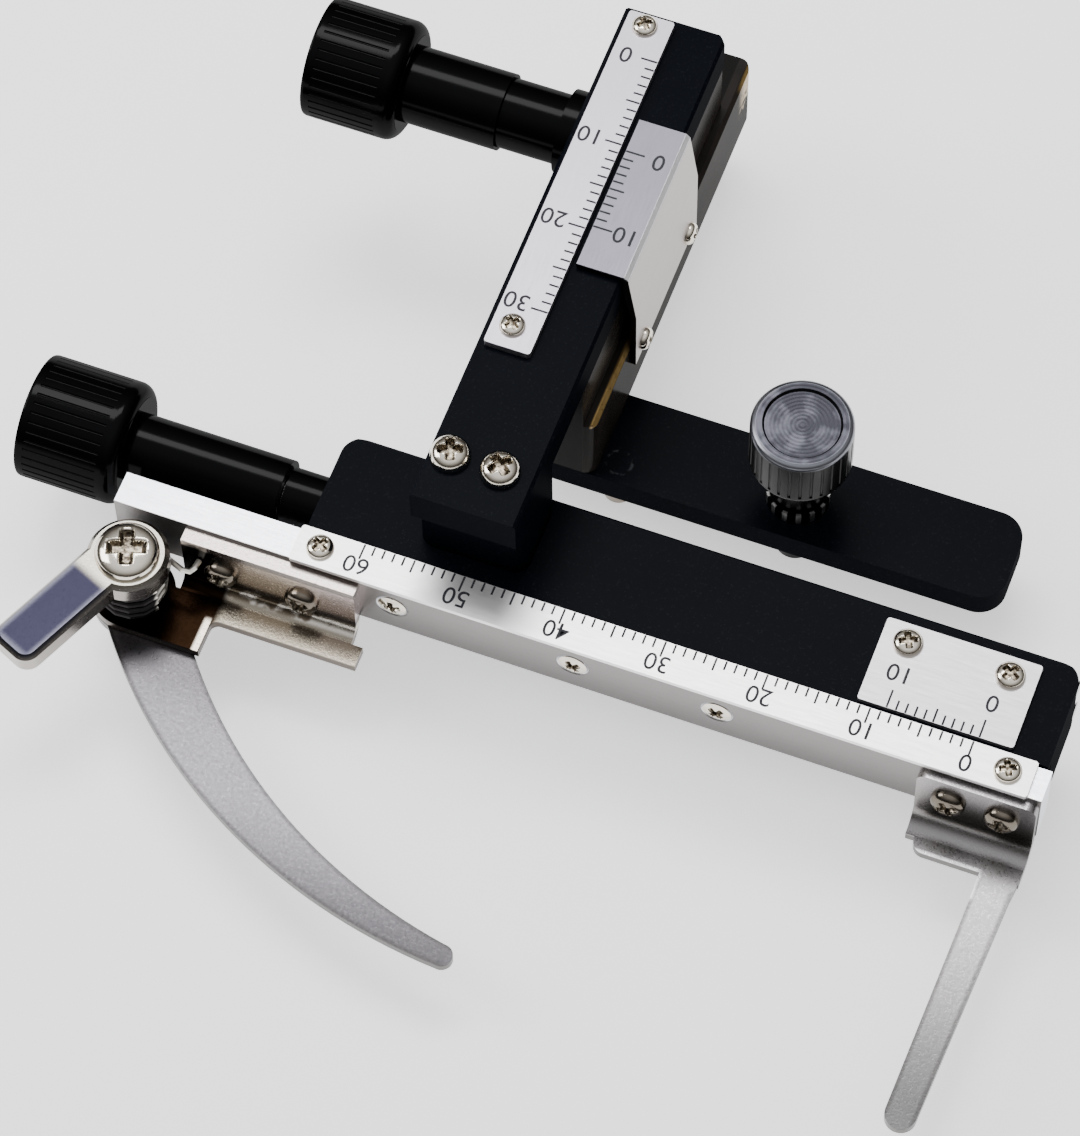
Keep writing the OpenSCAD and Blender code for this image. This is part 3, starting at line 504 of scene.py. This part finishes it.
def cross_screw(shape, at, way, head_r, head_h, shank, depth, twist=0.0, countersunk=False):
    """Screw with a cross recess, standing on `at` and pointing along the Z of `way`."""
    sides, crown = 96, 26
    deepest = 0.5 if countersunk else 0.55 * head_h
    dome = 0.77
    rings = []
    for k in range(1, crown + 1):
        angle = 0.5 * pi * k / crown
        if countersunk:
            r, z = head_r * k / crown, head_h * (1 - (k / crown) ** 2)
        else:
            r, z = head_r * sin(angle) ** dome, head_h * max(0.0, cos(angle)) ** dome
        rings.append((r, z, deepest))
    rings.append((shank, shank - head_r if countersunk else 0.0, 0.0))
    rings.append((shank, -depth, 0.0))
    place = Matrix.Translation(at) @ way @ Matrix.Rotation(radians(twist), 4, "Z")
    centre = shape.verts.new(place @ Vector((0, 0, head_h - deepest)))
    loops, inside = [], []
    for r, z, cut in rings:
        spots = [(r * cos(2 * pi * i / sides), r * sin(2 * pi * i / sides)) for i in range(sides)]
        cuts = [cut * cross_recess(x, y, head_r) for x, y in spots]
        loops.append([shape.verts.new(place @ Vector((x, y, z - c))) for (x, y), c in zip(spots, cuts)])
        inside.append([c > 0.05 for c in cuts])
    for i in range(sides):
        j = (i + 1) % sides
        shape.faces.new((centre, loops[0][i], loops[0][j])).material_index = 1
        for k, (low, high) in enumerate(zip(loops, loops[1:])):
            face = shape.faces.new((low[i], high[i], high[j], low[j]))
            face.material_index = int(all(inside[m][n] for m in (k, k + 1) for n in (i, j)))
    shape.faces.new(loops[-1])


def screws(name, body, finish, places, way, *size, twists=None, **more):
    """All the screws of one CAD node, which they replace."""
    def make(shape):
        for k, at in enumerate(places):
            cross_screw(shape, Vector(at), way, *size, twist=(twists or [0] * len(places))[k], **more)
    made = piece(name + "_cross", make, finish, body, 50, recess)
    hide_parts(name)


def strip(shape, low, high, bottom, top):
    """Flat printed line between two corners."""
    corners = ((low[0], low[1]), (high[0], low[1]), (high[0], high[1]), (low[0], high[1]))
    lows = [shape.verts.new((x, y, bottom)) for x, y in corners]
    highs = [shape.verts.new((v.co.x, v.co.y, top)) for v in lows]
    shape.faces.new(lows[::-1])
    shape.faces.new(highs)
    for i in range(4):
        j = (i + 1) % 4
        shape.faces.new((lows[i], lows[j], highs[j], highs[i]))


def ticks(name, body, finish, starts, lengths, along, top, width=0.2):
    """Scale lines that start at each point and run along the given direction."""
    def make(shape):
        for (x, y), length in zip(starts, lengths):
            across = (abs(along[1]) * width / 2, abs(along[0]) * width / 2)
            end = (x + along[0] * length, y + along[1] * length)
            low = (min(x, end[0]) - across[0], min(y, end[1]) - across[1])
            high = (max(x, end[0]) + across[0], max(y, end[1]) + across[1])
            strip(shape, low, high, top - 0.004, top + 0.012)
    return piece(name, make, finish, body)


def number(word, at, top):
    """A printed number that reads from the far side."""
    text = bpy.data.curves.new("number", "FONT")
    text.body = word
    text.size = 2.55
    text.offset = 0.008
    text.extrude = 0.006
    text.align_x, text.align_y = "CENTER", "CENTER"
    text.resolution_u = 6
    made = bpy.data.objects.new("number", text)
    bpy.context.scene.collection.objects.link(made)
    bpy.context.view_layer.update()
    graph = bpy.context.evaluated_depsgraph_get()
    mesh = bpy.data.meshes.new_from_object(made.evaluated_get(graph))
    bpy.data.objects.remove(made)
    mesh.transform(Matrix.Translation(Vector((*at, top + 0.006))) @ Matrix.Rotation(pi, 4, "Z"))
    return mesh


def numbers(name, body, finish, words, top):
    """The printed numbers of one scale."""
    whole = bmesh.new()
    for word, at in words:
        mesh = number(word, at, top)
        whole.from_mesh(mesh)
        bpy.data.meshes.remove(mesh)
    def make(shape):
        mesh = bpy.data.meshes.new("numbers")
        whole.to_mesh(mesh)
        shape.from_mesh(mesh)
        bpy.data.meshes.remove(mesh)
        whole.free()
    return piece(name, make, finish, body)


def scale_lengths(count):
    return [1.65 if n % 10 == 0 else 1.35 if n % 5 == 0 else 0.95 for n in range(count)]


def vernier_lengths():
    return [1.9 if n % 10 == 0 else 1.45 if n == 5 else 1.05 for n in range(11)]


# ---------------------------------------------------------------- the stage

photo_camera()
painted = black_paint()
guide = guide_finish()
plastic = black_plastic()
x_plate = drawn_metal("bright_scale_aluminium", (0.99, 0.97, 0.96), (0.92, 0.90, 0.89),
                      0.42, (0.06, 0.9, 1.0), 0.004)
vernier_plate = drawn_metal("satin_vernier_aluminium", (0.64, 0.62, 0.64), (0.56, 0.54, 0.56),
                            0.44, (0.06, 0.9, 1.0), 0.004)
y_plate = drawn_metal("lilac_scale_aluminium", (0.54, 0.515, 0.56), (0.46, 0.44, 0.48),
                      0.44, (0.9, 0.06, 1.0), 0.004)
bar_metal = drawn_metal("drawn_bar_aluminium", (0.94, 0.96, 1.0), (0.86, 0.88, 0.95),
                        0.36, (0.05, 0.8, 1.0), 0.008,
                        speckle=0.15, marks=bar_front_shade)
block_metal = drawn_metal("milled_block_aluminium", (0.20, 0.192, 0.225), (0.165, 0.159, 0.187),
                          0.42, (1.0, 0.08, 0.8), 0.006,
                          marks=block_painted_light_and_dark_end)
# Painted shade: both fingers' nickel is given a far darker base colour than nickel has, to suit this
# light.
right_metal = drawn_metal("satin_nickel_flange", (0.094, 0.091, 0.091), (0.058, 0.057, 0.057),
                          0.30, (0.8, 0.8, 0.8), 0.010,
                          0.3, 0.3, flange_shade_and_highlights)
curve_metal = drawn_metal("satin_nickel_curve", (0.150, 0.142, 0.156), (0.110, 0.105, 0.113),
                          0.33, (0.8, 0.8, 0.8), 0.010,
                          0.2, 0.35, curve_shade_and_rims)
bracket_metal = drawn_metal("browned_nickel_sheet", (0.52, 0.46, 0.40), (0.36, 0.31, 0.26),
                            0.24, (0.7, 0.7, 0.7), 0.010,
                            0.4, 0.15, bracket_tone_and_painted_light)
nickel = drawn_metal("plain_nickel", (0.30, 0.26, 0.22), (0.20, 0.17, 0.14),
                     0.24, (0.7, 0.7, 0.7), 0.005, 0.4)
shaded_screw = drawn_metal("shaded_nickel_screw", (0.20, 0.175, 0.145), (0.11, 0.095, 0.075),
                           0.16, (1.0, 1.0, 1.0), 0.003, 0.8)
screw_metal = drawn_metal("bright_nickel_screw", (0.94, 0.88, 0.77), (0.70, 0.64, 0.53),
                          0.13, (1.0, 1.0, 1.0), 0.003, 0.8)
# Painted dark reflection: the lever's very dark base colour stands in for the dark surroundings mirrored
# in its polished top.
lever_metal = drawn_metal("polished_lever_steel", (0.016, 0.0155, 0.026), (0.012, 0.0115, 0.020),
                          0.24, (0.7, 0.7, 0.7), 0.005,
                          0.25, 0.1, lever_painted_reflections)
# Painted shade: the coil's near black colour; its leg gets a painted highlight.
spring_metal = drawn_metal("shaded_spring_wire", (0.030, 0.028, 0.028), (0.014, 0.013, 0.014),
                           0.3, (0.5, 1.0, 1.0), 0.004,
                           marks=spring_leg_highlight)
brass = drawn_metal("turned_brass", (0.86, 0.62, 0.27), (0.62, 0.42, 0.16), 0.28, (0.2, 1.0, 1.0), 0.005)
steel = drawn_metal("ground_steel", (0.66, 0.66, 0.68), (0.48, 0.48, 0.50), 0.26, (0.5, 1.0, 1.0), 0.004)
thumb = thumb_finish()
recess = recess_finish()
ink = ink_finish()

COATS = {
    painted: ["mount_bracket", "y_rail", "x_housing", "x_end_cap"],
    guide: ["guide_block"],
    plastic: ["y_knob", "x_knob", "x_bush", "pinion_bush"],
    x_plate: ["x_scale_plate"],
    vernier_plate: ["x_vernier_plate"],
    y_plate: ["y_scale_plate"],
    block_metal: ["y_vernier_block"],
    bar_metal: ["slider_bar"],
    right_metal: ["right_finger"],
    curve_metal: ["swing_finger"],
    bracket_metal: ["finger_bracket"],
    nickel: ["pivot_sleeve", "pivot_spindle", "locating_pin"],
    lever_metal: ["finger_lever"],
    spring_metal: ["return_spring"],
    brass: ["y_pinion", "drive_nut", "slide_tongue"],
    steel: ["y_pinion_shaft", "y_rack", "x_lead_screw", "guide_screws", "rack_screws",
            "x_end_cap_screws"],
    thumb: ["thumbscrew"],
    screw_metal: ["y_vernier_screws", "y_scale_screws", "rail_screws", "x_vernier_screws",
                  "x_scale_screws", "tongue_screws", "pivot_screw"],
    shaded_screw: ["right_finger_screws", "finger_bracket_screws"],
}
for finish, names in COATS.items():
    for name in names:
        nodes[name].data.materials.clear()
        nodes[name].data.materials.append(finish.material)

screws("y_scale_screws", "y_carriage", screw_metal,
       [(-27.7, y, Y_PLATES_TOP) for y in (-3.2, 32.8)], UP,
       1.25, 0.75, 0.5, 1.8, twists=[50, 40])
screws("rail_screws", "y_carriage", screw_metal,
       [(x, -17.8, RAIL_FOOT_TOP) for x in (-28.3, -23.4)], UP,
       1.95, 1.5, 1.4, 13.6, twists=[20, 50])
screws("x_vernier_screws", "y_carriage", screw_metal,
       [(x, -15.4, X_PLATES_TOP) for x in (15.9, 25.85)], UP,
       1.45, 0.9, 0.5, 1.3, twists=[25, 60])
screws("x_scale_screws", "x_slider", screw_metal,
       [(x, -24.8, X_PLATES_TOP) for x in (-39.05, 28.66)], UP,
       1.35, 0.8, 0.5, 2.5, twists=[60, 25])
screws("right_finger_screws", "x_slider", shaded_screw,
       [(x, FINGER_FLANGE, 6.2) for x in (24.1, 29.25)], FRONT,
       1.7, 1.1, 0.8, 3.4, twists=[30, 10])
screws("finger_bracket_screws", "x_slider", shaded_screw,
       [(x, BRACKET_FLANGE, 5.4) for x in (-48.1, -39.9)], FRONT,
       1.7, 1.1, 0.8, 3.6, twists=[10, 40])
screws("tongue_screws", "x_slider", screw_metal,
       [(x, BAR_FRONT, 6.8) for x in (-31.3, -13.2, 1.1)], FRONT,
       1.42, 0.28, 0.8, 4.4, twists=[15, 35, 50], countersunk=True)
screws("y_vernier_screws", "base", screw_metal,
       [(BLOCK_SIDE, y, 10.2) for y in (7.5, 20.2)], RIGHT,
       1.15, 0.8, 0.8, 3.7, twists=[20, 50])
screws("pivot_screw", "swing", screw_metal,
       [(*PIVOT_AXIS, PIVOT_TOP)], UP,
       3.1, 1.5, 0.75, 3.0, twists=[20])

ticks("x_scale_lines", "x_slider", ink, [(24.8 - n, -22.98) for n in range(61)],
      scale_lengths(61), (0, -1), X_PLATES_TOP)
numbers("x_scale_numbers", "x_slider", ink,
        [(str(10 * k), (24.75 - 10 * k, -25.25)) for k in range(7)], X_PLATES_TOP)
ticks("x_vernier_lines", "y_carriage", ink, [(25.15 - 0.9 * n, -22.38) for n in range(11)],
      vernier_lengths(), (0, 1), X_PLATES_TOP)
numbers("x_vernier_numbers", "y_carriage", ink, [("0", (25.2, -18.6)), ("10", (16.2, -18.6))],
        X_PLATES_TOP)
ticks("y_scale_lines", "y_carriage", ink, [(-25.13, 29.26 - n) for n in range(31)],
      scale_lengths(31), (-1, 0), Y_PLATES_TOP)
numbers("y_scale_numbers", "y_carriage", ink,
        [(str(10 * k), (-28.3, 29.25 - 9.88 * k)) for k in range(4)], Y_PLATES_TOP)
ticks("y_vernier_lines", "base", ink, [(-24.47, 18.75 - 0.9 * n) for n in range(11)],
      vernier_lengths(), (1, 0), Y_PLATES_TOP)
numbers("y_vernier_numbers", "base", ink, [("0", (-21.1, 18.6)), ("10", (-21.2, 9.75))], Y_PLATES_TOP)

floor_mesh = bpy.data.meshes.new("floor")
floor_corners = [(-1, -1), (1, -1), (1, 1), (-1, 1)]
floor_mesh.from_pydata([(FLOOR_HALF_M * x, FLOOR_HALF_M * y, cad_box[0][2]) for x, y in floor_corners],
                       [], [(0, 1, 2, 3)])
floor_mesh.materials.append(floor_finish().material)
floor = bpy.data.objects.new("floor", floor_mesh)
bpy.context.scene.collection.objects.link(floor)

studio_world([(0.0, (0.055, 0.050, 0.046)), (0.30, (0.085, 0.080, 0.075)), (0.55, (0.34, 0.335, 0.33)),
              (0.76, (0.70, 0.70, 0.71)), (0.88, (0.98, 0.99, 1.02)), (1.0, (1.12, 1.13, 1.17))])
soft_light("top_light", (-110, 150, 430), (-15, -5, 5), (320, 130), 1.5)
soft_light("left_light", (-380, -60, 300), (-15, -5, 5), (220, 220), 1.1)
